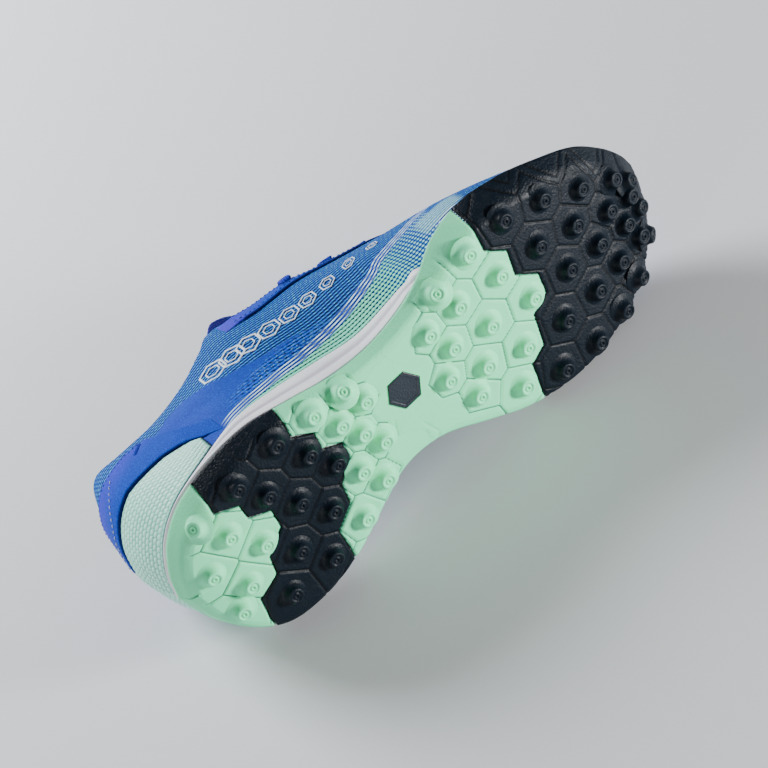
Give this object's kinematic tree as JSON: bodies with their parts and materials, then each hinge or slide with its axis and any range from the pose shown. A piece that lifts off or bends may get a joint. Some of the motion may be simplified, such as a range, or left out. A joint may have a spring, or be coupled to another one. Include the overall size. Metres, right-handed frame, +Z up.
{
  "type": "turf shoe",
  "caption": "Low turf football shoe for the right foot with a studded two-colour rubber outsole, knit and suede upper, moulded heel counter and laced throat, lying on its inner side.",
  "frame": {"origin": "floor point under the middle of the lying shoe's box, z = 0 on the floor", "axes": "+X from heel to toe, +Z up with the outer side of the shoe on top, the studded sole faces -Y"},
  "size_m": [0.2964, 0.1448, 0.107],
  "materials": {
    "outsole_mint": "matte moulded rubber, mint",
    "outsole_dark": "matte grained rubber, dark blue-grey",
    "midsole": "matte foam, off-white",
    "insole": "fine brushed textile, dark blue",
    "upper": "synthetic suede and knit in royal blue with mint and dark blue patterns",
    "counter": "moulded counter with a fine woven relief, mint",
    "overlay": "suede, blue-violet",
    "eyestay": "knit reinforced edge, royal blue",
    "tongue": "smooth woven, blue-violet",
    "lace": "flat woven lace, blue"
  },
  "bodies": {
    "root": {"outsole_toe": "outsole_dark", "outsole_heel": "outsole_dark", "outsole_rear": "outsole_mint", "outsole_middle": "outsole_mint", "arch_inlay": "outsole_dark", "midsole": "midsole", "insole": "insole", "upper": "upper", "heel_counter": "counter", "heel_overlay": "overlay", "eyestay": "eyestay", "tongue": "tongue", "lace_bar_1": "lace", "lace_bar_2": "lace", "lace_bar_3": "lace", "lace_bar_4": "lace"}
  },
  "joints": []
}
